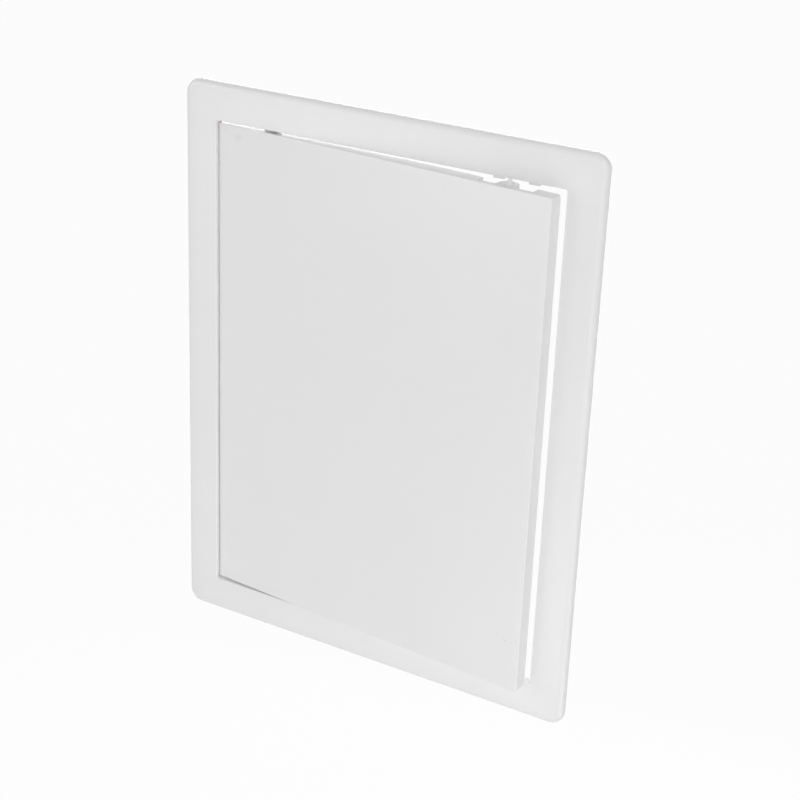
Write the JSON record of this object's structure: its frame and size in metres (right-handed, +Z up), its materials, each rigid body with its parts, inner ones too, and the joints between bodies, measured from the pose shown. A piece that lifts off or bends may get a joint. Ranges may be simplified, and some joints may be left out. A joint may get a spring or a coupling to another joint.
{
  "type": "access panel",
  "caption": "Flush access panel: a moulded frame glued over a wall opening and a pan-shaped door that turns on side pins and snaps shut on sprung tongues.",
  "frame": {"origin": "centre of the opening, on the wall's surface, where the flange's back rests", "axes": "+X to the right seen from the front, +Y into the wall, +Z up; the panel's face looks along -Y"},
  "size_m": [0.1794, 0.0175, 0.2294],
  "materials": {
    "frame_plastic": "white ABS, satin gloss, very slightly wavy",
    "door_plastic": "white ABS, satin gloss",
    "pin_plastic": "white acetal, smooth"
  },
  "bodies": {
    "frame": {"frame": "frame_plastic"},
    "door": {"door": "door_plastic", "upper_hinge_pin": "pin_plastic", "lower_hinge_pin": "pin_plastic"},
    "upper_latch": {"upper_latch_tongue": "door_plastic"},
    "lower_latch": {"lower_latch_tongue": "door_plastic"}
  },
  "joints": [
    {"name": "door_hinge", "type": "hinge", "parent": "frame", "child": "door", "pos_m": [-0.052, 0.0021, 0], "axis": [0, 0, -1], "range_deg": [-4.2, 145.8]},
    {"name": "upper_latch_bend", "type": "hinge", "parent": "door", "child": "upper_latch", "pos_m": [0.05335, -0.00784, 0.0974], "axis": [-0.9973, 0.0732, 0], "range_deg": [0, 22], "stiffness_Nm_per_rad": 0.05},
    {"name": "lower_latch_bend", "type": "hinge", "parent": "door", "child": "lower_latch", "pos_m": [0.05335, -0.00784, -0.0978], "axis": [0.9973, -0.0732, 0], "range_deg": [0, 22], "stiffness_Nm_per_rad": 0.05}
  ]
}
